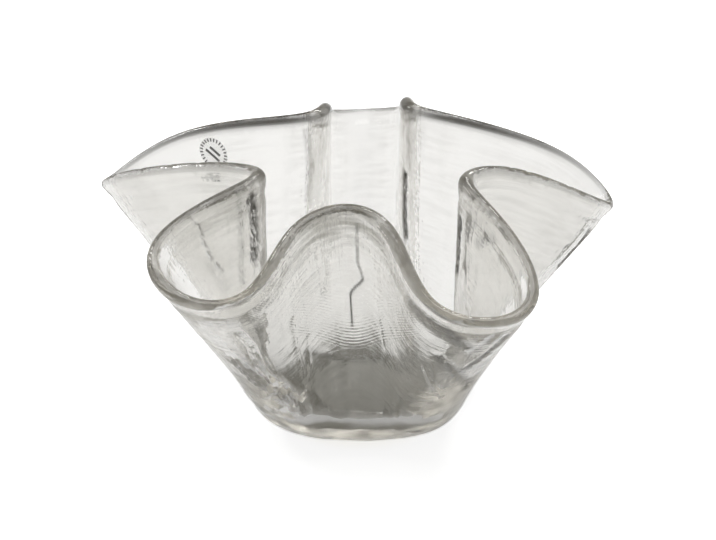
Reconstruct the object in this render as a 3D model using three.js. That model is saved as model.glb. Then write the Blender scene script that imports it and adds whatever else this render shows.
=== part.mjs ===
// Glass tealight holder: a hand-formed bowl of thick clear glass. Its wall is drawn out into five
// lobes and pressed in at five folds, and a small oval label is stuck to the inside of the wall.
// Millimetres, +Z up. The foot stands on Z = 0 with its centre at the origin, and -Y is the front.

import * as THREE from "three";
import { NURBSCurve } from "three/addons/curves/NURBSCurve.js";
import { ParametricGeometry } from "three/addons/geometries/ParametricGeometry.js";
import { mergeVertices } from "three/addons/utils/BufferGeometryUtils.js";

// Driving dimensions of the glass
const RIM_HEIGHT = 92; // highest control point of the rim above the foot
const LOBE_REACH = 89; // longest reach of a control point of the rim from the axis
const LOBE_DROP = 33; // deepest drop of a control point below RIM_HEIGHT
const KNEE_RADIUS = 33.5; // where the floor and the wall would meet if the corner were sharp
const KNEE_SETBACK = 13.5; // how far the corner's round reaches along the floor and up the wall
const FLOOR_THICKNESS = 7; // glass under the candle
const LOBE_THICKNESS = 3.2; // the stretched lobes are the thinnest glass
const FOLD_THICKNESS = 5; // the gathered folds are thicker
const THINNED_BY = 38; // height at which the wall has thinned down from the floor's thickness

// Control points of the lip's centre line, a closed cubic B-spline, six for each lobe and its fold.
// Each is an azimuth in degrees from the front towards +X, a reach in percent of LOBE_REACH and a
// drop in percent of LOBE_DROP.
const RIM = [
  [355, 43, 9], [12, 54, 15], [14, 75, 76], [31, 90, 82], [44, 85, 69], [52, 56, 30],
  [63, 33, 18], [87, 51, 21], [93, 85, 72], [103, 97, 100], [115, 87, 55], [129, 46, 12],
  [150, 32, 0], [159, 49, 6], [165, 79, 55], [179, 97, 79], [192, 77, 58], [195, 44, 9],
  [208, 28, 3], [226, 36, 9], [239, 81, 36], [253, 100, 91], [261, 91, 54], [270, 51, 24],
  [293, 29, 18], [302, 53, 21], [306, 87, 39], [320, 92, 69], [336, 79, 72], [337, 57, 15],
];
const PERCENT = 0.01;

// Driving dimensions of the label
const LABEL_WIDTH = 9;
const LABEL_HEIGHT = 11;
const LABEL_THICKNESS = 0.4;
const LABEL_CLEARANCE = 0.3; // between the label and the glass
const LABEL_TILT = 15; // degrees that the label's top leans towards the nearest lobe's tip
const LABEL_TURN = 236; // degrees round the foot from the front to the section that carries the label
const LABEL_BELOW_RIM = 9; // from the lip's top down to the label's centre, along the wall

// How finely the surfaces are divided
const COLUMNS = 120;
const KNEE_STEPS = 5;
const WALL_STEPS = 8;
const LIP_STEPS = 4;
const LABEL_COLUMNS = 32;
const LABEL_RINGS = 3;
const TURN_STEP = 1e-4; // share of a turn over which the wall's direction is measured
const SAME_POINT = 1e-4; // vertices nearer than this are one vertex

const FULL_TURN = 2 * Math.PI;

// A level direction from the axis, at an azimuth from the front towards +X.
function outwards(azimuth) {
  return new THREE.Vector3(Math.sin(azimuth), -Math.cos(azimuth), 0);
}

function rimCurve() {
  const degree = 3;
  const points = RIM.map(([azimuth, reach, drop]) => {
    const place = outwards(THREE.MathUtils.degToRad(azimuth)).multiplyScalar(reach * PERCENT * LOBE_REACH);
    return new THREE.Vector4(place.x, place.y, RIM_HEIGHT - drop * PERCENT * LOBE_DROP, 1);
  });
  const closed = [points.at(-1), ...points, points[0], points[1]];
  const knots = Array.from({ length: closed.length + degree + 1 }, (_, knot) => knot);
  return new NURBSCurve(degree, knots, closed, degree, points.length + degree);
}

const rim = rimCurve();

function wallThickness(rimHeight) {
  const share = THREE.MathUtils.smoothstep(rimHeight, RIM_HEIGHT - LOBE_DROP, RIM_HEIGHT);
  return THREE.MathUtils.lerp(LOBE_THICKNESS, FOLD_THICKNESS, share);
}

// The middle of the glass in one upright section: a round corner from the floor, then a straight wall.
function section(turn) {
  const crest = rim.getPoint(THREE.MathUtils.euclideanModulo(turn, 1));
  const out = outwards(turn * FULL_TURN);
  const floorMiddle = new THREE.Vector3(0, 0, FLOOR_THICKNESS / 2);
  const knee = floorMiddle.clone().addScaledVector(out, KNEE_RADIUS);
  const floorEdge = knee.clone().addScaledVector(out, -KNEE_SETBACK);
  const rise = crest.clone().sub(knee).normalize();
  const wallFoot = knee.clone().addScaledVector(rise, KNEE_SETBACK);
  const thickness = wallThickness(crest.z);
  const lipCentre = crest.clone().addScaledVector(rise, -thickness / 2);
  return {
    corner: new THREE.QuadraticBezierCurve3(floorEdge, knee, wallFoot),
    wall: new THREE.LineCurve3(wallFoot, lipCentre),
    thickness,
  };
}

// A place in the middle of the glass, with the way up the wall, the way out and the glass's thickness.
// A share below 0 is on the corner, and one from 0 to 1 on the wall.
function middle(turn, share) {
  const placeAt = (where) => {
    const { corner, wall } = section(where);
    return share < 0 ? corner.getPoint(share + 1) : wall.getPoint(share);
  };
  const cut = section(turn);
  const point = placeAt(turn);
  const up = share < 0 ? cut.corner.getTangent(share + 1) : cut.wall.getTangent(share);
  const around = placeAt(turn + TURN_STEP).sub(placeAt(turn - TURN_STEP));
  around.divideScalar(2 * TURN_STEP);
  const out = new THREE.Vector3().crossVectors(around, up).normalize();
  const thinned = THREE.MathUtils.smoothstep(point.z, FLOOR_THICKNESS / 2, THINNED_BY);
  const thickness = THREE.MathUtils.lerp(FLOOR_THICKNESS, cut.thickness, thinned);
  return { point, up, out, thickness, stretch: around.length() };
}

// Rows of the bowl's skin, from the foot's centre up the outside, over the lip and down to the floor.
// An angle of 0 is the outer face, half a turn the inner one, and between them lies the round lip.
function skinRows() {
  const shares = [];
  for (let i = 0; i < KNEE_STEPS; i += 1) {
    shares.push(i / KNEE_STEPS - 1);
  }
  for (let i = 0; i <= WALL_STEPS; i += 1) {
    shares.push(i / WALL_STEPS);
  }
  const outside = shares.map((share) => ({ share, angle: 0 }));
  const inside = shares.map((share) => ({ share, angle: Math.PI })).reverse();
  const lip = [];
  for (let i = 1; i < LIP_STEPS; i += 1) {
    lip.push({ share: 1, angle: (Math.PI * i) / LIP_STEPS });
  }
  return [{ centre: 0 }, ...outside, ...lip, ...inside, { centre: FLOOR_THICKNESS }];
}

function skinPoint(turn, row, target) {
  if (row.centre !== undefined) {
    target.set(0, 0, row.centre);
    return;
  }
  const at = middle(turn, row.share);
  const radius = at.thickness / 2;
  target.copy(at.point);
  target.addScaledVector(at.out, radius * Math.cos(row.angle));
  target.addScaledVector(at.up, radius * Math.sin(row.angle));
}

// One closed skin from a parametric grid: shared vertices are merged and flat triangles dropped.
function closedSkin(grid) {
  grid.deleteAttribute("normal");
  grid.deleteAttribute("uv");
  const merged = mergeVertices(grid, SAME_POINT);
  const corners = merged.index.array;
  const kept = [];
  for (let i = 0; i < corners.length; i += 3) {
    const [a, b, c] = corners.slice(i, i + 3);
    if (a !== b && b !== c && c !== a) {
      kept.push(a, b, c);
    }
  }
  merged.setIndex(kept);
  merged.computeVertexNormals();
  return merged;
}

function glassBowl() {
  const rows = skinRows();
  const last = rows.length - 1;
  const skin = (u, v, target) => skinPoint(u, rows[Math.round(v * last)], target);
  const material = new THREE.MeshStandardMaterial({
    color: 0xeceae4,
    roughness: 0.05,
    metalness: 0,
    transparent: true,
    opacity: 0.35,
  });
  const mesh = new THREE.Mesh(closedSkin(new ParametricGeometry(skin, COLUMNS, last)), material);
  mesh.name = "glass_bowl";
  return mesh;
}

// A point over the bowl's inner face, given across and up the label in millimetres from its centre.
function overGlass(across, upwards, height, target) {
  const turn = THREE.MathUtils.degToRad(LABEL_TURN) / FULL_TURN;
  const { wall, thickness } = section(turn);
  const wallLength = wall.getLength();
  const centreShare = 1 - (LABEL_BELOW_RIM - thickness / 2) / wallLength;
  const centre = middle(turn, centreShare);
  const at = middle(turn + across / centre.stretch, centreShare + upwards / wallLength);
  target.copy(at.point).addScaledVector(at.out, -at.thickness / 2 - height);
}

// The label bends with the wall: its face, its edge and its back are rings of ovals.
function ovalLabel() {
  const rings = [];
  for (let i = 0; i <= LABEL_RINGS; i += 1) {
    rings.push({ size: i / LABEL_RINGS, height: LABEL_CLEARANCE + LABEL_THICKNESS });
  }
  for (let i = LABEL_RINGS; i >= 0; i -= 1) {
    rings.push({ size: i / LABEL_RINGS, height: LABEL_CLEARANCE });
  }
  const last = rings.length - 1;
  const tilt = THREE.MathUtils.degToRad(LABEL_TILT);
  const skin = (u, v, target) => {
    const { size, height } = rings[Math.round(v * last)];
    const oval = new THREE.Vector2(
      (LABEL_WIDTH / 2) * size * Math.cos(u * FULL_TURN),
      (LABEL_HEIGHT / 2) * size * Math.sin(u * FULL_TURN),
    );
    oval.rotateAround(new THREE.Vector2(), -tilt);
    overGlass(oval.x, oval.y, height, target);
  };
  const material = new THREE.MeshStandardMaterial({
    color: 0xdcdad4,
    roughness: 0.4,
    metalness: 0,
  });
  const mesh = new THREE.Mesh(closedSkin(new ParametricGeometry(skin, LABEL_COLUMNS, last)), material);
  mesh.name = "oval_label";
  return mesh;
}

const holder = new THREE.Group();
holder.name = "glass_tealight_holder";
holder.add(glassBowl(), ovalLabel());

export default holder;
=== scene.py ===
"""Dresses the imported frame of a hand-formed glass tealight holder and sets it in a plain studio."""

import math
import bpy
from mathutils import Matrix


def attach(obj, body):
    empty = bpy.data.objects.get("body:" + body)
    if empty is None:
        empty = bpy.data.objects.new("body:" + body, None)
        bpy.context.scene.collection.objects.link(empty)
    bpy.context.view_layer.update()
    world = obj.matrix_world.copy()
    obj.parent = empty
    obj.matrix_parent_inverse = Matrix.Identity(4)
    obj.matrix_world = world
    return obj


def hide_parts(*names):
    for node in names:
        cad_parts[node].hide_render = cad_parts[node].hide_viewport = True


bl_info = {
    "name": "Glass tealight holder",
    "version": (1, 0, 0),
    "blender": (4, 5, 0),
    "location": "3D View > Sidebar > Holder",
    "description": "Forms a wavy glass bowl with its oval label and lights it on a white floor",
    "category": "Add Mesh",
}

from typing import NamedTuple

import bmesh
import bpy
from bpy.props import FloatProperty, FloatVectorProperty, IntProperty, PointerProperty
from mathutils import Matrix, Vector, noise

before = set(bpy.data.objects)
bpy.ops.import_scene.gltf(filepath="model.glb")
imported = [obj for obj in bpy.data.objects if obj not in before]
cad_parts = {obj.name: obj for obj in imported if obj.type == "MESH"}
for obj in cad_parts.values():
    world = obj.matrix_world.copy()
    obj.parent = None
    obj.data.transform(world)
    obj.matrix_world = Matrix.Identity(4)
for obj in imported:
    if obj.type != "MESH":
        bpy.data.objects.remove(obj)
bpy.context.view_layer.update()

MM = 0.001
PERCENT = 0.01
DEGREES = 360  # in a full turn
FULL_TURN = 2 * math.pi

# The lip's centre line, as in the part's source: azimuth in degrees from the front towards +X,
# reach in percent of the longest reach and drop in percent of the deepest drop.
RIM = (
    (355, 43, 9), (12, 54, 15), (14, 75, 76), (31, 90, 82), (44, 85, 69), (52, 56, 30),
    (63, 33, 18), (87, 51, 21), (93, 85, 72), (103, 97, 100), (115, 87, 55), (129, 46, 12),
    (150, 32, 0), (159, 49, 6), (165, 79, 55), (179, 97, 79), (192, 77, 58), (195, 44, 9),
    (208, 28, 3), (226, 36, 9), (239, 81, 36), (253, 100, 91), (261, 91, 54), (270, 51, 24),
    (293, 29, 18), (302, 53, 21), (306, 87, 39), (320, 92, 69), (336, 79, 72), (337, 57, 15),
)
LOBES = 5
TURN_STEP = 1e-4  # share of a turn over which the wall's direction is measured
OUTER, INNER = -1, 1  # faces of the glass

# Marks that the tools left in the hot glass. Each is a face, a half width and a height in
# millimetres (below 0 for a groove), how broken up it is and how dark the painted shade along it
# is, and a run of points as degrees round the foot from the front and millimetres below the lip.
MARKS = (
    (OUTER, 0.45, -0.4, 1.0, 0.6, ((3, 2), (3, 15), (4, 17.3), (4.6, 19.7))),
    (OUTER, 0.4, -0.5, 0.2, 0.9, ((4.6, 19.7), (3.9, 21), (2.2, 22.8), (0.4, 24.8), (0, 26.5), (0, 36))),
    (OUTER, 0.9, -0.08, 0.2, 0.12, ((343.3, 34.4), (347.5, 41.8), (351, 45.2), (354.5, 48.2), (358.5, 49.5))),
    (OUTER, 0.9, -0.08, 0.2, 0.12, ((358.5, 49.5), (2.3, 49.4), (6.8, 47.7), (11.3, 44), (17.4, 34.4))),
    (OUTER, 0.7, 0.3, 0.3, 0.0, ((342, 20), (341, 30), (341, 41))),
    (OUTER, 0.6, 0.25, 0.3, 0.0, ((345, 31), (344, 37), (343, 44))),
    (OUTER, 0.5, 0.3, 0.9, 0.0, ((11, 29), (12, 33.1), (13, 37))),
    (OUTER, 1.8, -0.4, 0.3, 0.4, ((21, 5.3), (24.8, 4.2), (28.3, 5.2), (31.8, 10.6))),
    (OUTER, 1.6, -0.5, 0.3, 0.4, ((28.3, 18.8), (31.3, 24.3), (37.8, 38.2))),
    (OUTER, 1.0, -0.5, 0.3, 0.65, ((38.3, 7.7), (36.6, 16.3), (34, 24.7))),
    (OUTER, 0.8, 0.4, 0.2, 0.0, ((26, 26), (28.6, 34.5), (31.8, 41.3))),
    (INNER, 0.6, -0.2, 0.8, 0.3, ((65.2, 12.7), (64.4, 19.6), (62.8, 28.7))),
    (INNER, 1.5, 0.2, 1.0, 0.3, ((58.5, 3), (60.5, 7), (61.5, 10))),
    (INNER, 1.7, -0.9, 0.6, 1.0, ((68.7, 10), (68.9, 20), (69, 27))),
    (OUTER, 0.9, -0.4, 0.4, 0.6, ((100.6, 8.7), (101.5, 13.1), (101.5, 17.4), (100.6, 24))),
    (INNER, 2.0, -0.15, 0.4, 0.1, ((141.7, 1), (141.7, 6), (142.3, 12))),
    (INNER, 1.0, -0.9, 0.6, 1.0, ((146.6, 21.7), (147.2, 32), (147.3, 38.3), (147, 45))),
    (INNER, 0.8, -0.3, 0.6, 0.25, ((220.7, 2.5), (220, 8.9), (219.4, 16.5), (219.4, 28))),
    (INNER, 1.7, -0.9, 0.9, 1.0, ((294.5, 3), (294.3, 7), (294.5, 13), (295.3, 22.4))),
    (INNER, 1.0, -0.25, 1.0, 0.25, ((297.2, 1), (297.6, 7.1), (298.5, 16.5), (300.1, 28.4))),
    (INNER, 0.45, -0.5, 0.8, 0.55, ((305, 0.5), (304.3, 2.4), (304.6, 7.2), (304.6, 14.4), (303.5, 20))),
    (INNER, 2.0, 0.15, 1.0, 0.15, ((305, 15), (304.8, 20), (304.3, 26))),
    (OUTER, 0.8, 0.9, 0.3, 0.0, ((332, 12.1), (332.7, 18.7), (332, 29.7), (332.9, 39.5), (327, 49.1))),
    (OUTER, 2.5, 0.7, 1.0, 0.4, ((327.9, 29.4), (328.7, 34.9), (329.9, 40.1))),
    (OUTER, 2.0, 0.6, 1.0, 0.35, ((332.9, 42.8), (334.3, 45.9), (336.3, 49.2))),
)

# Nicks in the lip, as degrees round the foot from the front. Each is a short mark on both faces.
NICKS = (83.5, 86, 88.5, 92, 262.1, 267.5, 271.5, 275.3)
NICK = (0.6, -0.25, 0.8, 0.15)  # half width, height, how broken up and how dark its painted shade is, as for a mark
NICK_LENGTH = 0.1
MARKS += tuple((face, *NICK, ((turn, 0), (turn, NICK_LENGTH))) for turn in NICKS for face in (OUTER, INNER))


def length(name, description, millimetres):
    return FloatProperty(
        name=name,
        description=description,
        default=millimetres * MM,
        subtype="DISTANCE",
        unit="LENGTH",
        precision=4,
    )


def angle(name, description, degrees):
    return FloatProperty(
        name=name,
        description=description,
        default=math.radians(degrees),
        subtype="ANGLE",
    )


def colour(name, description, red, green, blue):
    return FloatVectorProperty(
        name=name,
        description=description,
        default=(red, green, blue),
        subtype="COLOR",
        min=0.0,
        max=1.0,
    )


def level(name, description, value, unit="NONE"):
    return FloatProperty(name=name, description=description, default=value, unit=unit)


def tally(name, description, value):
    return IntProperty(name=name, description=description, default=value)


class HOLDER_PG_glass(bpy.types.PropertyGroup):
    """Sizes and finish of the bowl"""

    rim_height: length("Rim height", "Highest control point of the rim above the foot", 92)
    lobe_reach: length("Lobe reach", "Longest reach of a control point of the rim", 89)
    lobe_drop: length("Lobe drop", "Deepest drop of a control point below the rim height", 33)
    knee_radius: length("Knee radius", "Where floor and wall would meet in a sharp corner", 33.5)
    knee_setback: length("Knee setback", "Reach of the corner's round on floor and wall", 13.5)
    floor_thickness: length("Floor thickness", "Of the glass under the candle", 7)
    lobe_thickness: length("Lobe thickness", "Of the stretched glass in the lobes", 3.2)
    fold_thickness: length("Fold thickness", "Of the gathered glass in the folds", 5)
    thinned_by: length("Thinned by", "Height at which the wall has thinned down", 38)
    wave_depth: length("Wave depth", "Height of the slow waves in the glass", 0.25)
    ring_depth: length("Ring depth", "Height of the tooling rings that follow the rim", 0.015)
    drawn_depth: length("Drawn depth", "Height of the drawn streaks that run up the folds", 0.06)
    lump_depth: length("Lump depth", "Height of the lumps above the foot", 0.55)
    brush_depth: length("Brush depth", "Height of the finest lines on the skin", 0.09)
    print_depth: length("Print depth", "Height of the fine rings that the tool printed in front", 0.015)
    neck_depth: length("Neck depth", "How much the glass narrows below the melted lip", 0.35)
    columns: tally("Columns", "Divisions round the bowl", 570)
    tint: colour("Tint", "Colour of the clear glass", 0.905, 0.901, 0.886)
    streak_tint: colour("Streak tint", "Colour of the greyer streaks", 0.81, 0.805, 0.788)
    # Painted shade: the near black laid along the tool marks and nicks
    mark_shade_tint: colour("Mark tint", "Colour of the dark marks", 0.012, 0.011, 0.009)
    # Painted shade: the dark brown laid on the near lips' gathered glass, along the foot's edge and under the
    # near lips
    lip_shade_tint: colour("Lip tint", "Colour of the gathered glass in the lip", 0.19, 0.177, 0.14)
    depth_tint: colour("Depth tint", "Colour that light takes on in thick glass", 0.725, 0.705, 0.652)
    depth_density: level("Depth density", "How fast light fades inside the glass, per metre", 12.0)


class HOLDER_PG_label(bpy.types.PropertyGroup):
    """Sizes and finish of the label"""

    width: length("Width", "Across the oval", 9)
    height: length("Height", "Along the oval", 11)
    thickness: length("Thickness", "Of the film", 0.4)
    clearance: length("Clearance", "Between the film and the glass", 0.3)
    below_rim: length("Below rim", "From the lip's top to the label's centre", 9)
    tilt: angle("Tilt", "Lean of the label's top towards the nearest lobe's tip", 15)
    turn: angle("Turn", "Place of the label's section round the foot, from the front", 236)
    film: colour("Film", "Colour of the film", 0.92, 0.92, 0.9)
    ring: colour("Border", "Colour of the border's strokes", 0.16, 0.16, 0.15)
    bar_lean: angle("Bar lean", "Lean of the two plain bars across the oval", 65)
    strokes: tally("Strokes", "Strokes in the border", 26)
    film_cover: level("Film cover", "How much of the glass behind it the film hides", 0.08)


class HOLDER_PG_stage(bpy.types.PropertyGroup):
    """The studio round the holder"""

    floor_colour: colour("Floor", "Colour of the floor", 0.86, 0.86, 0.86)
    floor_radius: length("Floor radius", "Half the width of the white table", 500)
    floor_shift: length("Floor shift", "How far the table's middle lies behind the holder", 150)
    camera_lift: level("Camera lift", "Light added to the floor as the background", 0.84)
    glass_lift: level("Glass lift", "Light added to the floor as the glass shows it", 0.22)
    # Painted light: a glow in the floor round the foot, seen only through the glass, that stands in for the
    # light the bowl passes on
    painted_light_round_foot: level("Passed lift", "Light that the bowl passes on to the table round its foot", 0.18)
    # Painted light: the warm colour of the floor's glow under the foot
    painted_foot_glow: colour("Foot glow", "Colour of the light under the foot", 0.95, 0.925, 0.82)
    room_colour: colour("Room", "Colour of the room round the table", 1.0, 0.98, 0.93)
    ceiling_level: level("Ceiling level", "Brightness of the dim ceiling", 0.12)
    wall_level: level("Wall level", "Brightness of the pale walls round the table", 0.5)
    top_power: level("Top lamp", "Power of the soft lamp overhead", 5.2, "POWER")
    strip_power: level("Strip lamp", "Power of the narrow lamps that glint on the lip", 1.3, "POWER")
    elevation: angle("Camera elevation", "Angle of the camera above the floor", 27.9)
    distance: length("Camera distance", "From the camera to its target", 480)
    lens: level("Lens", "Focal length", 76.83, "CAMERA")


def outwards(azimuth):
    """A level direction from the axis, at an azimuth from the front towards +X."""
    return Vector((math.sin(azimuth), -math.cos(azimuth), 0.0))


def short_way(turns):
    """A difference of turns as the short way round, at most half a turn to either side."""
    return (turns + 0.5) % 1.0 - 0.5


def mix(low, high, share):
    return low + (high - low) * share


def smoothstep(value, low, high):
    """A smooth rise from 0 at the low value to 1 at the high one."""
    share = min(max((value - low) / (high - low), 0.0), 1.0)
    return share * share * (3 - 2 * share)


def band(value, start, full, fading, end):
    """A smooth rise from 0 to 1, and a fall back to 0."""
    return smoothstep(value, start, full) * (1 - smoothstep(value, fading, end))


def bell(value, centre, width):
    """A smooth hump that is 1 at its centre and nearly 0 at two widths from it."""
    return math.exp(-(((value - centre) / width) ** 2))


def uneven(place, middle, spread):
    """A level that wanders up and down from place to place."""
    return middle + spread * noise.noise(place)


def laid_twice(dark):
    """The darkness of a tone that is laid on twice."""
    return 1 - (1 - dark) ** 2


class Section(NamedTuple):
    """An upright cut through the middle of the glass: a round corner, then a straight wall."""

    floor_edge: Vector
    knee: Vector
    wall_foot: Vector
    lip: Vector
    thickness: float  # at the lip

    def run(self):
        """Length of the straight wall."""
        return (self.lip - self.wall_foot).length

    def place(self, share):
        """A point of the cut: a share below 0 is on the corner, one from 0 to 1 on the wall."""
        if share >= 0:
            return self.wall_foot.lerp(self.lip, share)
        t = share + 1
        return self.floor_edge.lerp(self.knee, t).lerp(self.knee.lerp(self.wall_foot, t), t)

    def way_up(self, share):
        """The direction of the cut at a share."""
        if share >= 0:
            return (self.lip - self.wall_foot).normalized()
        t = share + 1
        return (self.knee.lerp(self.wall_foot, t) - self.floor_edge.lerp(self.knee, t)).normalized()


class Middle(NamedTuple):
    """A place in the middle of the glass."""

    point: Vector
    up: Vector
    out: Vector
    thickness: float
    stretch: float  # how fast the place moves with the turn, in metres for a full one


class Wall:
    """The middle of the glass as a surface."""

    def __init__(self, glass):
        self.glass = glass
        self.controls = []
        for azimuth, reach, drop in RIM:
            place = outwards(math.radians(azimuth)) * reach * PERCENT * glass.lobe_reach
            place.z = glass.rim_height - drop * PERCENT * glass.lobe_drop
            self.controls.append(place)

    def crest(self, turn):
        """A point of the closed cubic B-spline that the lip follows."""
        count = len(self.controls)
        place = (turn % 1.0) * count
        first = int(place)
        t = place - first
        a, b, c, d = (self.controls[(first + k) % count] for k in (-1, 0, 1, 2))
        total = a * (1 - t) ** 3
        total += b * (3 * t**3 - 6 * t**2 + 4)
        total += c * (-3 * t**3 + 3 * t**2 + 3 * t + 1)
        total += d * t**3
        return total / 6

    def section(self, turn):
        glass = self.glass
        crest = self.crest(turn)
        out = outwards(turn * FULL_TURN)
        knee = out * glass.knee_radius + Vector((0, 0, glass.floor_thickness / 2))
        rise = (crest - knee).normalized()
        share = smoothstep(crest.z, glass.rim_height - glass.lobe_drop, glass.rim_height)
        thickness = mix(glass.lobe_thickness, glass.fold_thickness, share)
        floor_edge = knee - out * glass.knee_setback
        wall_foot = knee + rise * glass.knee_setback
        return Section(floor_edge, knee, wall_foot, crest - rise * thickness / 2, thickness)

    def neighbours(self, turn):
        """The section at a turn, with those just before and after it."""
        return tuple(self.section(turn + step) for step in (0, -TURN_STEP, TURN_STEP))

    def middle(self, cuts, share):
        """A place at a share of the first of three neighbouring cuts."""
        cut, before, after = cuts
        glass = self.glass
        point = cut.place(share)
        up = cut.way_up(share)
        around = (after.place(share) - before.place(share)) / (2 * TURN_STEP)
        out = around.cross(up).normalized()
        thinned = smoothstep(point.z, glass.floor_thickness / 2, glass.thinned_by)
        thickness = mix(glass.floor_thickness, cut.thickness, thinned)
        return Middle(point, up, out, thickness, around.length)


# How the skin of the bowl is divided, from the foot's centre up the outside, over the lip and down
FOOT_RINGS = 5
CORNER_STEPS = 14
WALL_STEPS = 56
LIP_STEPS = 12
LINE_FROM, LINE_TO = 0.62, 0.78  # shares of the outer wall where rows are doubled for the front's line

# How much closer the bowl's columns are at a mark, and how far round it, in degrees
MARK_CROWDING = 2.5
MARK_WIDTH = 2.0
COLUMN_TESTS = 3600  # places round the bowl where a column may stand


def skin_rows():
    """Rows of the skin as (kind, share, lip angle): flat rings, the outer face, the lip, the inner face."""
    shares = [i / CORNER_STEPS - 1 for i in range(CORNER_STEPS)]
    shares += [i / WALL_STEPS for i in range(WALL_STEPS + 1)]
    rows = [("foot", i / FOOT_RINGS, 0.0) for i in range(1, FOOT_RINGS)]
    doubled = [share + 0.5 / WALL_STEPS for share in shares if LINE_FROM < share < LINE_TO]
    rows += [("skin", share, 0.0) for share in sorted(shares + doubled)]
    rows += [("skin", 1.0, math.pi * i / LIP_STEPS) for i in range(1, LIP_STEPS)]
    rows += [("skin", share, math.pi) for share in reversed(shares)]
    rows += [("floor", i / FOOT_RINGS, 0.0) for i in range(FOOT_RINGS - 1, 0, -1)]
    return rows


def column_turns(count):
    """Turns of the bowl's columns, closer together where the glass carries marks."""
    half = DEGREES / 2
    centres = {round(turn) % DEGREES for *_, points in MARKS for turn, _ in points}
    total = 0.0
    sums = []
    for step in range(COLUMN_TESTS):
        degrees = step * DEGREES / COLUMN_TESTS
        near = min(abs((degrees - centre + half) % DEGREES - half) for centre in centres)
        total += 1 + MARK_CROWDING * bell(near, 0.0, MARK_WIDTH)
        sums.append(total)
    turns = []
    step = 0
    for column in range(count):
        while sums[step] < (column + 0.5) * total / count:
            step += 1
        turns.append((step + 0.5) / COLUMN_TESTS)
    return turns


class Spot(NamedTuple):
    """A place on the skin of the bowl."""

    turn: float  # round the bowl from the front, as a share of a turn
    way: Vector  # level direction from the axis at that turn
    side: int  # OUTER or INNER
    below: float  # way down from the lip
    crest: float  # 1 on top of the lip and 0 on the faces
    fold: float  # 0 at a stretched lobe and 1 at a gathered fold
    arc: float  # half the way over the lip
    flow: Vector  # coordinates that follow the glass


FLOW_RADIUS = 140 * MM  # gives the flow coordinates about the rim's length over a full turn
FLAT_BELOW = 100 * MM  # way down from the lip at which the flat foot and floor count


def flow_place(way, below, side):
    """Coordinates that follow the glass: round the bowl, and down from the lip on each face."""
    return way * FLOW_RADIUS + Vector((0, 0, below * side))


def skin_spot(glass, cut, turn, share, lip_angle):
    """The place on the skin at a share of a cut, at an angle from the outer face over the lip."""
    way = outwards(turn * FULL_TURN)
    side = INNER if lip_angle > math.pi / 2 else OUTER
    run = cut.run()
    below = run * (1 - share) if share >= 0 else run - share * 2 * glass.knee_setback
    crest = max(math.sin(lip_angle), 0.0)
    fold = (cut.thickness - glass.lobe_thickness) / (glass.fold_thickness - glass.lobe_thickness)
    arc = cut.thickness * math.pi / 4
    flow = flow_place(way, below + arc, side)
    if not below:
        flow.z = arc * (2 * lip_angle / math.pi - 1)
    return Spot(turn, way, side, below, crest, fold, arc, flow)


MARK_REACH = 0.08  # furthest that a mark runs from its start, as a share of a turn
MARK_EDGE = 2.5  # half widths at which a mark has run out
MARK_SHADE_FADE = (0.6, 1.5)  # half widths from which its painted shade fades, and at which it ends
MARK_SHADE_FILL = 1.5  # how much of a broken mark's painted shade is filled up again
MARK_GRAIN = 1000  # breaks in a mark per metre


def tool_mark(spot, stretch):
    """Height of the tool marks at a place of the skin, and the darkness of the painted shade along them."""
    total, dark = 0.0, 0.0
    for face, half_width, height, broken, tone, points in MARKS:
        if face != spot.side or abs(short_way(spot.turn - points[0][0] / DEGREES)) > MARK_REACH:
            continue
        nearest = MARK_EDGE
        for (turn_a, below_a), (turn_b, below_b) in zip(points, points[1:]):
            run = Vector((short_way((turn_b - turn_a) / DEGREES), (below_b - below_a) * MM))
            here = Vector((short_way(spot.turn - turn_a / DEGREES), spot.below - below_a * MM))
            run.x *= stretch
            here.x *= stretch
            share = min(max(here.dot(run) / run.length_squared, 0.0), 1.0)
            nearest = min(nearest, (here - run * share).length / (half_width * MM))
        if nearest < MARK_EDGE:
            rough = max(uneven(spot.flow * MARK_GRAIN, 1, 2 * broken), 0.0)
            total += height * MM * bell(nearest, 0.0, 1.0) * rough
            # Painted shade: darkness along the mark, fading out from its middle
            dark = max(dark, tone * min(MARK_SHADE_FILL * rough, 1.0) * (1 - smoothstep(nearest, *MARK_SHADE_FADE)))
    return total, laid_twice(dark)


# The unevenness of the tooled wall. A grain is how many features come on a metre.
WAVE_GRAIN = 45
FRACTAL = (1.0, 2.0, 2)  # fall, step and number of the finer layers of waves and lumps
RING_STEP = 5.2 * MM  # from one tooling ring to the next
RING_BEND = 6 * MM  # how far the rings wander up and down
BEND_GRAIN, BEND_START = 30, Vector((7, 3, 1))
RING_PATCH = (0.55, 0.45)  # middle and spread of the rings' strength
PATCH_GRAIN, PATCH_START = 25, Vector((1, 8, 5))
DRAWN_GRAIN = Vector((190, 190, 25))
LOBE_DRAWN = 0.35  # strength of the drawn streaks at the lobes, against 1 at the folds
LUMP_GRAIN = 160
LUMPS_LEFT = (0.1, 0.45)  # towards the left, as a share of the way out, where lumps set in and are full
WALL_LUMPS = (6 * MM, 14 * MM, 22 * MM, 36 * MM)  # heights between which lumps set in and fade
FOOT_LUMPS = (3.7 * MM, 6 * MM, 8 * MM, 13 * MM)
FOOT_LUMP_SHARE = 0.35  # height of the lumps at the foot, against 1 on the wall
NECK = (4.5 * MM, 2 * MM)  # way down from the lip to the narrowest glass, and how far it spreads
SMOOTH_LIP = (2 * MM, 12 * MM)  # way down from the lip over which the unevenness sets in


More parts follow.
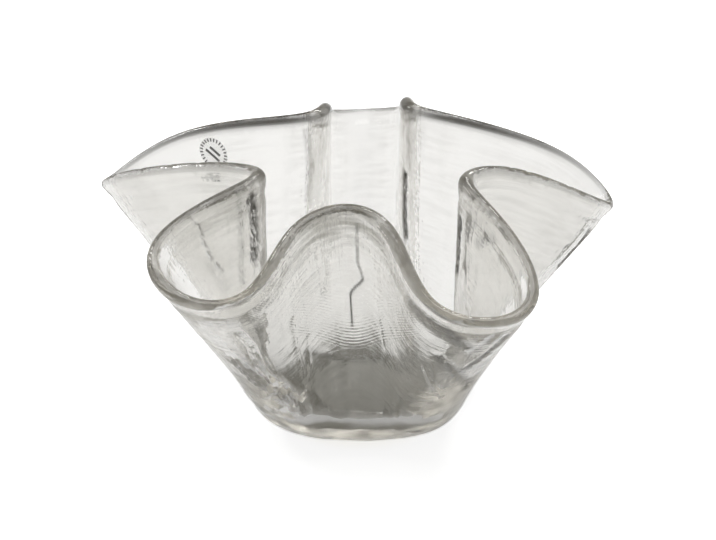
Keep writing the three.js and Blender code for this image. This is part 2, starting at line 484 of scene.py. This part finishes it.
def relief(glass, spot, point):
    """How far the tooled glass stands off the even wall: slow waves, rings, streaks and lumps."""
    flow, below, rise = spot.flow, spot.below, point.z
    slow = noise.fractal(flow * WAVE_GRAIN, *FRACTAL) * glass.wave_depth
    bend = noise.noise(flow * BEND_GRAIN + BEND_START) * RING_BEND
    patch = uneven(flow * PATCH_GRAIN + PATCH_START, *RING_PATCH)
    rings = math.sin((below + bend) * FULL_TURN / RING_STEP) * glass.ring_depth * patch
    drawn = noise.noise(flow * DRAWN_GRAIN) * glass.drawn_depth * mix(LOBE_DRAWN, 1.0, spot.fold)
    left = smoothstep(-spot.way.x, *LUMPS_LEFT)
    lumps = noise.fractal(point * LUMP_GRAIN, *FRACTAL) * glass.lump_depth
    lumps *= max(band(rise, *WALL_LUMPS) * left, FOOT_LUMP_SHARE * band(rise, *FOOT_LUMPS))
    neck = -glass.neck_depth * bell(below, *NECK)
    worked = smoothstep(below, *SMOOTH_LIP)
    worked *= smoothstep(rise, glass.floor_thickness, 2 * glass.floor_thickness)
    return (slow + rings + drawn) * worked + lumps + neck


# How the glass is toned, with painted shade on its lips and at its foot's edge. Two numbers are where a share
# sets in and where it is full.
BACK_HALF = (-0.6, 0.2)  # of the way out from the axis, towards +Y
LIP_POWER = 0.8  # how the painted shade on a lip's gathered glass falls off from its top
LIP_SHADE = (0.85, 0.5)  # middle and spread of that painted shade
LIP_GRAIN = 90
BACK_LIP_SHADE = 0.15  # what the lips at the back keep of that painted shade
FOOT_EDGE_SHADE = (0.8, 0.8)  # middle and spread of the painted shade along the foot's edge
FOOT_GRAIN = 70
FOOT_HEIGHT = (1.5 * MM, 6 * MM)  # of the skin, where that painted shade fades
FOLD_TIP = 0.08  # half width of a fold's tip, as a share of the way from fold to fold
LIP_INSIDE = (-0.6, 0.4)  # of the way over the lip from its top, in arcs
FAR_LIP_SHADE = (0.4, 0.65)  # painted shade on the far lips' inside, at the lobes and at the folds
UNDER_LIP_SHADOW_LINE = (0.7, 0.4)  # middle and width of the painted shadow line under the far lips, in arcs
SHADOW_LINE_DARKNESS = 0.55  # darkness of that painted shadow line
SIDE_LIP = (0.93, 0.98)  # of the way out from the axis, to either side
SIDE_EDGE_SHADE = 0.3  # darkness of the painted shade on the lips' outside there
FRONT_TOOLING = 0.35  # strength of the tooling in front, against 1 at the back
LIP_TOOLING = 0.1  # what the lips keep of the tooling
FOLD_TOOLING = 1.7  # extra tooling under the near folds' lips, which also lays painted shade on the lines there
FOLD_TOOLED = (3 * MM, 18 * MM)  # way down from the lip over which the extra tooling fades


def tones(glass, spot, at, reach, dark):
    """Shares of painted shade on the gathered glass, of darker painted shade on marks and lips, and of
    tooling at a place of the skin.
    """
    crest, fold = spot.crest, spot.fold
    back = smoothstep(spot.way.y, *BACK_HALF)

    # Painted shade: dark brown on the gathered glass of the near lips, faint at the back, and along the
    # foot's edge
    lip = crest**LIP_POWER * fold**2 * uneven(spot.flow * LIP_GRAIN, *LIP_SHADE)
    lip *= mix(1.0, BACK_LIP_SHADE, back)
    if spot.side == OUTER:
        low = 1 - smoothstep(at.point.z + reach * at.out.z, *FOOT_HEIGHT)
        lip = max(lip, uneven(at.point * FOOT_GRAIN, *FOOT_EDGE_SHADE) * low)

    # Painted shade: darker insides of the far lips with a shadow line under them, and darker outsides of the
    # lips at the sides
    tip = bell(short_way(spot.turn * LOBES), 0.0, FOLD_TIP)
    over = spot.flow.z / spot.arc
    inside = smoothstep(over, *LIP_INSIDE)
    far = mix(*FAR_LIP_SHADE, fold) * crest**0.5 * (1 - tip) + SHADOW_LINE_DARKNESS * fold * bell(over, *UNDER_LIP_SHADOW_LINE)
    side = SIDE_EDGE_SHADE * crest**0.5 * smoothstep(abs(spot.way.x), *SIDE_LIP)
    dark = max(dark, laid_twice(max(far * back * inside, side * (1 - inside))))

    tooled = smoothstep(at.point.z, glass.floor_thickness, 3 * glass.floor_thickness)
    tooled *= mix(FRONT_TOOLING, 1.0, back) * mix(1.0, LIP_TOOLING, crest)
    tooled += FOLD_TOOLING * fold**2 * (1 - smoothstep(spot.below, *FOLD_TOOLED)) * (1 - back)
    return Vector((lip, dark, tooled))


def skin_point(wall, cuts, turn, share, lip_angle):
    """Place, flow coordinates and tones of a point of the skin."""
    spot = skin_spot(wall.glass, cuts[0], turn, share, lip_angle)
    at = wall.middle(cuts, share)
    height, dark = tool_mark(spot, at.stretch)
    reach = at.thickness / 2 + height + relief(wall.glass, spot, at.point)
    place = at.point + at.out * reach * math.cos(lip_angle) + at.up * reach * math.sin(lip_angle)
    return place, spot.flow, tones(wall.glass, spot, at, reach, dark)


def flat_point(glass, kind, turn, share):
    """Place, flow coordinates and tones of a point of the flat foot or floor."""
    way = outwards(turn * FULL_TURN)
    place = way * (glass.knee_radius - glass.knee_setback) * share
    place.z = glass.floor_thickness if kind == "floor" else 0.0
    side = INNER if kind == "floor" else OUTER
    return place, flow_place(way, FLAT_BELOW, side) * share, Vector()


def flat_disc(bm, columns):
    """A flat disc of triangles, as its middle, its rim and the rim's edges."""
    verts = bmesh.ops.create_circle(bm, cap_ends=True, cap_tris=True, segments=columns, radius=1)["verts"]
    hub = next(vert for vert in verts if not vert.is_boundary)
    ring = [vert for vert in verts if vert.is_boundary]
    return hub, ring, [edge for edge in bm.edges if edge.is_boundary]


def next_ring(bm, edges):
    """A new ring of faces on an open rim, as the new rim and its edges."""
    made = bmesh.ops.extrude_edge_only(bm, edges=edges)["geom"]
    ring = [item for item in made if isinstance(item, bmesh.types.BMVert)]
    rim = [item for item in made if isinstance(item, bmesh.types.BMEdge) and item.is_boundary]
    return ring, rim


def close_skin(bm, edges, middle):
    """Draws the last rim together in one point and turns all faces outwards."""
    ring, _ = next_ring(bm, edges)
    bmesh.ops.pointmerge(bm, verts=ring, merge_co=middle)
    bmesh.ops.recalc_face_normals(bm, faces=bm.faces)


def form_skin(glass):
    """The bowl as a bmesh: a disc, extruded row by row and set to the formed glass."""
    wall = Wall(glass)
    turns = column_turns(glass.columns)
    cuts = [wall.neighbours(turn) for turn in turns]
    bm = bmesh.new()
    column_of = bm.verts.layers.int.new("column")
    flow_of = bm.verts.layers.float_vector.new("flow")
    tone_of = bm.verts.layers.float_vector.new("tone")
    hub, ring, edges = flat_disc(bm, glass.columns)
    hub.co = Vector()
    ring.sort(key=lambda vert: math.atan2(vert.co.x, -vert.co.y) % FULL_TURN)
    for column, vert in enumerate(ring):
        vert[column_of] = column
    for number, (kind, share, lip_angle) in enumerate(skin_rows()):
        if number:
            ring, edges = next_ring(bm, edges)
        for vert in ring:
            column = vert[column_of]
            if kind == "skin":
                made = skin_point(wall, cuts[column], turns[column], share, lip_angle)
            else:
                made = flat_point(glass, kind, turns[column], share)
            vert.co, vert[flow_of], vert[tone_of] = made
    close_skin(bm, edges, Vector((0, 0, glass.floor_thickness)))
    return bm


# How the label is divided
LABEL_COLUMNS = 64
LABEL_RINGS = 8


def form_film(label, glass):
    """The label as a bmesh: rings of ovals over its face, its edge and its back, bent with the wall."""
    wall = Wall(glass)
    turn = label.turn / FULL_TURN
    cut = wall.section(turn)
    run = cut.run()
    centre = 1 - (label.below_rim - cut.thickness / 2) / run
    stretch = wall.middle(wall.neighbours(turn), centre).stretch
    lean = Matrix.Rotation(-label.tilt, 2)
    rings = [(i / LABEL_RINGS, label.clearance + label.thickness) for i in range(1, LABEL_RINGS + 1)]
    rings += [(i / LABEL_RINGS, label.clearance) for i in range(LABEL_RINGS, 0, -1)]

    def over_glass(size, spin, height):
        oval = Vector((math.cos(spin) * label.width, math.sin(spin) * label.height)) * size / 2
        oval.rotate(lean)
        at = wall.middle(wall.neighbours(turn + oval.x / stretch), centre + oval.y / run)
        return at.point - at.out * (at.thickness / 2 + height)

    bm = bmesh.new()
    spin_of = bm.verts.layers.float.new("spin")
    oval_of = bm.verts.layers.float_vector.new("oval")
    hub, ring, edges = flat_disc(bm, LABEL_COLUMNS)
    hub.co = over_glass(0, 0, label.clearance + label.thickness)
    for vert in ring:
        vert[spin_of] = math.atan2(vert.co.y, vert.co.x)
    for number, (size, height) in enumerate(rings):
        if number:
            ring, edges = next_ring(bm, edges)
        for vert in ring:
            spin = vert[spin_of]
            vert.co = over_glass(size, spin, height)
            vert[oval_of] = Vector((math.cos(spin), math.sin(spin), 0)) * size
    close_skin(bm, edges, over_glass(0, 0, label.clearance))
    return bm


def finished_piece(name, bm, material):
    """A smooth-shaded object at the origin, from a bmesh whose places are final."""
    for face in bm.faces:
        face.smooth = True
    mesh = bpy.data.meshes.new(name)
    bm.to_mesh(mesh)
    bm.free()
    mesh.materials.append(material)
    piece = bpy.data.objects.new(name, mesh)
    bpy.context.scene.collection.objects.link(piece)
    return piece


class Nodes:
    """A short way to add and join shader nodes."""

    def __init__(self, tree):
        self.tree = tree
        tree.nodes.clear()

    def add(self, kind, inputs=None, **settings):
        node = self.tree.nodes.new(kind)
        for name, value in settings.items():
            setattr(node, name, value)
        for name, value in (inputs or {}).items():
            socket = node.inputs[name]
            if isinstance(value, bpy.types.NodeSocket):
                self.tree.links.new(value, socket)
            else:
                socket.default_value = value
        return node

    def attribute(self, name):
        """A vector that each point of the mesh carries."""
        return self.add("ShaderNodeAttribute", attribute_name=name).outputs["Vector"]

    def parts(self, vector):
        return self.add("ShaderNodeSeparateXYZ", {"Vector": vector}).outputs

    def calc(self, operation, *values, clamp=False):
        node = self.add("ShaderNodeMath", dict(enumerate(values)), operation=operation, use_clamp=clamp)
        return node.outputs[0]

    def ramp(self, value, low, high):
        """A share that runs from 0 at one value to 1 at the other."""
        inputs = {"Value": value, "From Min": low, "From Max": high}
        return self.add("ShaderNodeMapRange", inputs).outputs["Result"]

    def blend(self, share, low, high):
        """A mix of two colours, each given as numbers or taken from a node."""
        low, high = (end if isinstance(end, bpy.types.NodeSocket) else (*end, 1) for end in (low, high))
        node = self.add("ShaderNodeMix", {"Factor": share, "A": low, "B": high}, data_type="RGBA")
        return node.outputs["Result"]


def new_material(name):
    material = bpy.data.materials.new(name)
    material.use_nodes = True
    return material, Nodes(material.node_tree)


# Grain of the glass's skin: features per metre round the bowl, given twice, and down the wall
BRUSH_GRAIN = (45, 45, 650)  # lines that follow the rim
STREAK_GRAIN = (60, 60, 25)  # patches in which these lines show as greyer streaks
PULLED_GRAIN = (420, 420, 45)  # lines that run down the wall
PEEL_GRAIN = (260, 260, 260)  # unevenness with no direction
SPECK_GRAIN = (1300, 1300, 600)  # specks that the painted shade of the lower marks is broken into

# Values of the grain from which lines, patches and specks show, and at which they are full
BRUSH_SHOWS = (0.4, 0.64)
STREAK_SHOWS = (0.38, 0.62)
SPECK_SHOWS = (0.3, 0.46)

UNDER_LIP_ARC_SHADE = 0.8  # how much of the lip's painted shade the lines under the near lips take on, as painted shade under the lip
SPECKS_FROM = 4.5 * MM  # way down the inner face from which the marks' painted shade is broken into specks
PRINT_BOW = 10.1  # how strongly the fine rings in front bow, per metre
PRINT_STEP = 1.1 * MM  # from one of these rings to the next
PRINT_TOP = (24 * MM, 34 * MM)  # way down to where the rings set in and are full
PRINT_FOOT = (50 * MM, 47 * MM)  # way down to where they end, and from where they fade
PRINT_SIDES = (-120 * MM, -132 * MM)  # flow coordinate towards the front where they set in and are full


def glass_material(glass):
    """Clear glass with fine brush lines that follow the rim and streaks that run down the wall, with painted
    shade on its lips, along its marks and at its foot's edge.
    """
    material, nodes = new_material("clear_glass")
    flow = nodes.attribute("flow")
    round_x, round_y, down = nodes.parts(flow)
    lip, dark, tooled = nodes.parts(nodes.attribute("tone"))

    def grain(stretch, detail):
        scaled = nodes.add("ShaderNodeVectorMath", {0: flow, 1: stretch}, operation="MULTIPLY")
        inputs = {"Vector": scaled.outputs["Vector"], "Scale": 1.0, "Detail": detail}
        return nodes.add("ShaderNodeTexNoise", inputs).outputs["Fac"]

    brush = grain(BRUSH_GRAIN, 2.0)
    lines = nodes.ramp(brush, *BRUSH_SHOWS)
    patches = nodes.ramp(grain(STREAK_GRAIN, 3.0), *STREAK_SHOWS)
    # Under the near folds' lips the tooling share runs above 1; there the lines turn to greyer streaks and
    # take on the lip's painted shade, as painted shade under the lip.
    near_lip = nodes.calc("SUBTRACT", tooled, 1.0)
    streaks = nodes.calc("MULTIPLY", lines, nodes.calc("MAXIMUM", patches, near_lip), clamp=True)
    clear = nodes.blend(streaks, glass.tint, glass.streak_tint)
    arcs = nodes.calc("MULTIPLY", nodes.calc("MULTIPLY", near_lip, lines, clamp=True), UNDER_LIP_ARC_SHADE)
    # Painted shade: the lip's dark brown on the near lips, at the foot's edge and on the lines under the near
    # lips
    gathered = nodes.blend(nodes.calc("MAXIMUM", lip, arcs), clear, glass.lip_shade_tint)
    # Painted shade along the marks and on the far and side lips, broken into specks lower down the inner face
    specks = nodes.ramp(grain(SPECK_GRAIN, 1.0), *SPECK_SHOWS)
    whole = nodes.calc("LESS_THAN", down, SPECKS_FROM)
    shown = nodes.calc("MULTIPLY", dark, nodes.calc("MAXIMUM", specks, whole))
    marked_and_shaded = nodes.blend(shown, gathered, glass.mark_shade_tint)

    squared = nodes.calc("MULTIPLY", round_x, round_x)
    bow = nodes.calc("SUBTRACT", nodes.calc("MULTIPLY", squared, PRINT_BOW), down)
    rings = nodes.calc("SINE", nodes.calc("MULTIPLY", bow, FULL_TURN / PRINT_STEP))
    printed = nodes.calc("MULTIPLY", nodes.ramp(bow, *PRINT_TOP), nodes.ramp(bow, *PRINT_FOOT))
    printed = nodes.calc("MULTIPLY", printed, nodes.ramp(round_y, *PRINT_SIDES))
    inputs = {"Height": rings, "Strength": printed, "Distance": glass.print_depth}
    bump = nodes.add("ShaderNodeBump", inputs).outputs["Normal"]
    for height, depth in (
        (brush, 2 * glass.brush_depth),
        (grain(PULLED_GRAIN, 2.0), glass.brush_depth),
        (grain(PEEL_GRAIN, 3.0), 2 * glass.brush_depth),
    ):
        inputs = {"Height": height, "Strength": tooled, "Distance": depth, "Normal": bump}
        bump = nodes.add("ShaderNodeBump", inputs).outputs["Normal"]

    shader = nodes.add(
        "ShaderNodeBsdfPrincipled",
        {
            "Base Color": marked_and_shaded,
            "Roughness": 0.0,
            "IOR": 1.5,
            "Transmission Weight": 1.0,
            "Normal": bump,
        },
    )
    inputs = {"Color": (*glass.depth_tint, 1), "Density": glass.depth_density}
    depth = nodes.add("ShaderNodeVolumeAbsorption", inputs)
    inputs = {"Surface": shader.outputs[0], "Volume": depth.outputs[0]}
    nodes.add("ShaderNodeOutputMaterial", inputs)
    return material


# The label's print, in shares of the oval's half width and half height
BORDER_INSIDE, BORDER_OUTSIDE = 0.76, 0.97  # between which the border's strokes run
STROKE_SHARE = 0.36  # what a stroke fills of its step round the border
BARS = ((0.2, 0.4), (-0.15, 0.55))  # height and half length of each bar
BAR_HALF_WIDTH = 0.07
PRINT_COVER = 0.75  # how much of the glass behind it the print hides
WORN_FILM = 0.9  # brightness of worn film, against 1 where it is new


def label_material(label):
    """A thin pale film with a border of short strokes and two plain bars."""
    material, nodes = new_material("label_film")
    calc = nodes.calc
    place = nodes.attribute("oval")
    across, upwards, _ = nodes.parts(place)
    inputs = {"Vector": place, "Angle": -label.bar_lean}
    lean = nodes.add("ShaderNodeVectorRotate", inputs, rotation_type="Z_AXIS").outputs["Vector"]
    along, over, _ = nodes.parts(lean)

    def bar(height, half_length):
        within = calc("LESS_THAN", calc("ABSOLUTE", calc("SUBTRACT", over, height)), BAR_HALF_WIDTH)
        return calc("MULTIPLY", within, calc("LESS_THAN", calc("ABSOLUTE", along), half_length))

    size = calc("SQRT", calc("ADD", calc("MULTIPLY", across, across), calc("MULTIPLY", upwards, upwards)))
    outside = calc("GREATER_THAN", size, BORDER_INSIDE)
    ring = calc("MULTIPLY", outside, calc("LESS_THAN", size, BORDER_OUTSIDE))
    around = calc("MULTIPLY", calc("ARCTAN2", upwards, across), label.strokes / FULL_TURN)
    printed = calc("MULTIPLY", ring, calc("LESS_THAN", calc("FRACT", around), STROKE_SHARE))
    for height, half_length in BARS:
        printed = calc("MAXIMUM", printed, bar(height, half_length))
    wear = nodes.add("ShaderNodeTexNoise", {"Vector": place, "Scale": 3.0, "Detail": 4.0}).outputs["Fac"]
    film = nodes.blend(wear, label.film, [channel * WORN_FILM for channel in label.film])
    paint = nodes.blend(printed, film, label.ring)
    inputs = {"Value": printed, "To Min": label.film_cover, "To Max": PRINT_COVER}
    cover = nodes.add("ShaderNodeMapRange", inputs).outputs["Result"]
    inputs = {"Base Color": paint, "Roughness": 0.35, "Alpha": cover}
    shader = nodes.add("ShaderNodeBsdfPrincipled", inputs)
    nodes.add("ShaderNodeOutputMaterial", {"Surface": shader.outputs[0]})
    return material


class HOLDER_OT_form_bowl(bpy.types.Operator):
    """Form the wavy bowl of clear glass"""

    bl_idname = "holder.form_bowl"
    bl_label = "Form the glass bowl"

    def execute(self, context):
        glass = context.scene.holder_glass
        piece = finished_piece("bowl", form_skin(glass), glass_material(glass))
        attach(piece, "root")
        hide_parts("glass_bowl")
        return {"FINISHED"}


class HOLDER_OT_stick_label(bpy.types.Operator):
    """Stick the oval label to the inside of the wall"""

    bl_idname = "holder.stick_label"
    bl_label = "Stick on the label"

    def execute(self, context):
        label = context.scene.holder_label
        film = form_film(label, context.scene.holder_glass)
        piece = finished_piece("label", film, label_material(label))
        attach(piece, "root")
        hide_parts("oval_label")
        return {"FINISHED"}


# Way from the axis where the painted light round the foot, which stands in for the light that the bowl passes
# on, sets in, is full, fades and ends
FOOT_EDGE, FOOT_ROUND = 20 * MM, 32 * MM
BOWL_ROUND, BOWL_EDGE = 65 * MM, 105 * MM
FLOOR_GAP = 0.3 * MM  # keeps the floor's face clear of the foot's
FLOOR_SEGMENTS = 96
DARKER_FLOOR = 0.98  # brightness of the floor's darker patches, against 1 for its colour
WHITE = (1, 1, 1)


def floor_material(stage):
    """A pale matt floor that keeps the shadow, lifted to white where it is the background, with painted light
    round and under the foot that only the glass shows.
    """
    material, nodes = new_material("studio_floor")
    grain = nodes.add("ShaderNodeTexNoise", {"Scale": 3.0, "Detail": 2.0}).outputs["Fac"]
    darker = [channel * DARKER_FLOOR for channel in stage.floor_colour]
    lit = nodes.add("ShaderNodeBsdfDiffuse", {"Color": nodes.blend(grain, stage.floor_colour, darker)})
    path = nodes.add("ShaderNodeLightPath").outputs
    bent = nodes.calc("MAXIMUM", path["Is Glossy Ray"], path["Is Transmission Ray"])
    place = nodes.add("ShaderNodeTexCoord").outputs["Object"]
    away = nodes.add("ShaderNodeVectorMath", {0: place}, operation="LENGTH").outputs["Value"]
    # Painted light: a ring of glow round the foot, and a warm glow under it, that only rays bent by the glass
    # see
    beyond = nodes.ramp(away, FOOT_EDGE, FOOT_ROUND)
    painted_ring = nodes.calc("MULTIPLY", beyond, nodes.ramp(away, BOWL_EDGE, BOWL_ROUND))
    glassed = nodes.calc("MULTIPLY_ADD", painted_ring, stage.painted_light_round_foot, stage.glass_lift)
    through = nodes.calc("MULTIPLY", bent, glassed)
    lift = nodes.calc("MULTIPLY_ADD", path["Is Camera Ray"], stage.camera_lift, through)
    # Painted light: the glow is warm under the foot
    inputs = {"Color": nodes.blend(beyond, stage.painted_foot_glow, WHITE), "Strength": lift}
    glow = nodes.add("ShaderNodeEmission", inputs)
    both = nodes.add("ShaderNodeAddShader", {0: lit.outputs[0], 1: glow.outputs[0]}).outputs[0]
    nodes.add("ShaderNodeOutputMaterial", {"Surface": both})
    return material


WALLS_TO, CEILING_FROM = 0.2, 0.65  # upward share of a direction where the walls end and the ceiling begins


def studio_world(stage):
    """White behind the holder, and the room with pale walls that its edges bend into view."""
    world = bpy.data.worlds.new("studio")
    world.use_nodes = True
    nodes = Nodes(world.node_tree)
    path = nodes.add("ShaderNodeLightPath").outputs
    way = nodes.add("ShaderNodeTexCoord").outputs["Generated"]
    brightness = nodes.add(
        "ShaderNodeMapRange",
        {
            "Value": nodes.parts(way)["Z"],
            "From Min": WALLS_TO,
            "From Max": CEILING_FROM,
            "To Min": stage.wall_level,
            "To Max": stage.ceiling_level,
        },
        interpolation_type="SMOOTHSTEP",
    ).outputs["Result"]
    inputs = {"Color": (*stage.room_colour, 1), "Strength": brightness}
    room = nodes.add("ShaderNodeBackground", inputs)
    white = nodes.add("ShaderNodeBackground", {"Color": (*WHITE, 1), "Strength": 1.0})
    inputs = {0: path["Is Camera Ray"], 1: room.outputs[0], 2: white.outputs[0]}
    both = nodes.add("ShaderNodeMixShader", inputs).outputs[0]
    nodes.add("ShaderNodeOutputWorld", {"Surface": both})
    return world


LIGHT_BOUNCES = 32  # light runs far inside thick glass before it leaves
CAMERA_TARGET = Vector((-0.4, 0.0, 46.2)) * MM
CAMERA_NEAR = 10 * MM  # nearest that the camera sees

# Each lamp's size, its place and what it is turned to, in metres
TOP_SOFTBOX = ((0.9, 0.7), (0.0, 0.1, 0.9), (0, 0.05, 0.0))
RIGHT_STRIP = ((0.45, 0.04), (0.22, 0.55, 0.65), (0, 0, 0.05))
LEFT_STRIP = ((0.3, 0.03), (-0.45, 0.2, 0.5), (0, 0, 0.05))


def add_lamp(name, power, size, place, aim):
    lamp = bpy.data.lights.new(name, "AREA")
    lamp.shape = "RECTANGLE"
    lamp.size, lamp.size_y = size
    lamp.energy = power
    thing = bpy.data.objects.new(name, lamp)
    thing.location = place
    thing.rotation_euler = (Vector(aim) - Vector(place)).to_track_quat("-Z", "Y").to_euler()
    bpy.context.scene.collection.objects.link(thing)


class HOLDER_OT_set_stage(bpy.types.Operator):
    """Lay the white floor and set the lamps and the camera"""

    bl_idname = "holder.set_stage"
    bl_label = "Set the stage"

    def execute(self, context):
        scene = context.scene
        stage = scene.holder_stage
        scene.view_settings.view_transform = "Standard"
        scene.cycles.caustics_refractive = False
        scene.cycles.max_bounces = LIGHT_BOUNCES
        scene.cycles.glossy_bounces = LIGHT_BOUNCES
        scene.cycles.transmission_bounces = LIGHT_BOUNCES

        bm = bmesh.new()
        bmesh.ops.create_circle(bm, cap_ends=True, segments=FLOOR_SEGMENTS, radius=stage.floor_radius)
        bmesh.ops.translate(bm, verts=bm.verts, vec=(0, stage.floor_shift, -FLOOR_GAP))
        floor = finished_piece("floor", bm, floor_material(stage))
        scene.world = studio_world(stage)
        add_lamp("top_softbox", stage.top_power, *TOP_SOFTBOX)
        add_lamp("right_strip", stage.strip_power, *RIGHT_STRIP)
        add_lamp("left_strip", stage.strip_power / 2, *LEFT_STRIP)

        back = Vector((0, -math.cos(stage.elevation), math.sin(stage.elevation)))
        camera = bpy.data.cameras.new("camera")
        camera.lens = stage.lens
        camera.clip_start = CAMERA_NEAR
        viewer = bpy.data.objects.new("camera", camera)
        viewer.location = CAMERA_TARGET + back * stage.distance
        viewer.rotation_euler = (-back).to_track_quat("-Z", "Y").to_euler()
        scene.collection.objects.link(viewer)
        scene.camera = viewer
        return {"FINISHED"}


class HOLDER_PT_sidebar(bpy.types.Panel):
    """Lists the holder's sizes and steps"""

    bl_idname = "HOLDER_PT_sidebar"
    bl_label = "Glass tealight holder"
    bl_space_type = "VIEW_3D"
    bl_region_type = "UI"
    bl_category = "Holder"

    def draw(self, context):
        scene = context.scene
        for group in (scene.holder_glass, scene.holder_label, scene.holder_stage):
            box = self.layout.box()
            for name in group.__annotations__:
                box.prop(group, name)
        for operator in OPERATORS:
            self.layout.operator(operator.bl_idname)


OPERATORS = (HOLDER_OT_form_bowl, HOLDER_OT_stick_label, HOLDER_OT_set_stage)
CLASSES = (HOLDER_PG_glass, HOLDER_PG_label, HOLDER_PG_stage, *OPERATORS, HOLDER_PT_sidebar)


def register():
    for kind in CLASSES:
        bpy.utils.register_class(kind)
    bpy.types.Scene.holder_glass = PointerProperty(type=HOLDER_PG_glass)
    bpy.types.Scene.holder_label = PointerProperty(type=HOLDER_PG_label)
    bpy.types.Scene.holder_stage = PointerProperty(type=HOLDER_PG_stage)


def unregister():
    del bpy.types.Scene.holder_stage
    del bpy.types.Scene.holder_label
    del bpy.types.Scene.holder_glass
    for kind in reversed(CLASSES):
        bpy.utils.unregister_class(kind)


def main():
    register()
    bpy.ops.holder.form_bowl()
    bpy.ops.holder.stick_label()
    bpy.ops.holder.set_stage()


if __name__ == "__main__":
    main()
